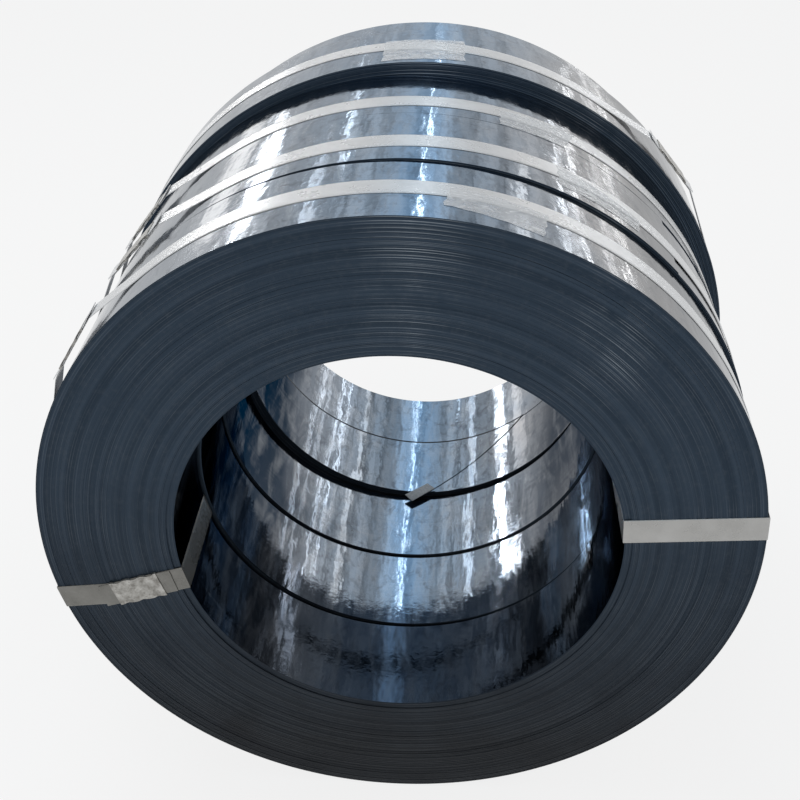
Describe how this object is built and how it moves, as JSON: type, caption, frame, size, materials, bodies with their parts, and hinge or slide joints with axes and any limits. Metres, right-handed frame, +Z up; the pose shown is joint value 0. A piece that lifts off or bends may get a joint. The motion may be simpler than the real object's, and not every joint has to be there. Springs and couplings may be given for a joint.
{
  "type": "strapped pack of slit steel coils",
  "caption": "Lying pack of narrow polished steel strip coils with one open bore, with a flat steel belly band on each, two eye straps on the front one and crimped seals.",
  "frame": {"origin": "on the floor, under the middle of the pack", "axes": "+Y along the coils' axis from the front end to the rear end, +X to the right seen from the front, +Z up"},
  "size_m": [0.8394, 0.6855, 0.8384],
  "materials": {
    "strip": "polished bluish steel strip, dark slit edges on the ends",
    "strap": "pale grey flat steel strapping",
    "seal": "crimped sheet steel",
    "tape": "clear film tape, a little wrinkled"
  },
  "bodies": {
    "root": {"coil_1": "strip", "coil_2": "strip", "coil_3": "strip", "coil_4": "strip", "coil_5": "strip", "band_1": "strap", "band_2": "strap", "band_3": "strap", "band_4": "strap", "band_5": "strap", "eye_strap_right": "strap", "eye_strap_left": "strap", "band_seal_1": "seal", "band_seal_2": "seal", "band_seal_3": "seal", "band_seal_4": "seal", "band_seal_5": "seal", "eye_seal_right": "seal", "eye_seal_left": "seal", "tape_1": "tape", "tape_2": "tape", "tape_3": "tape", "tape_4": "tape"}
  },
  "joints": []
}
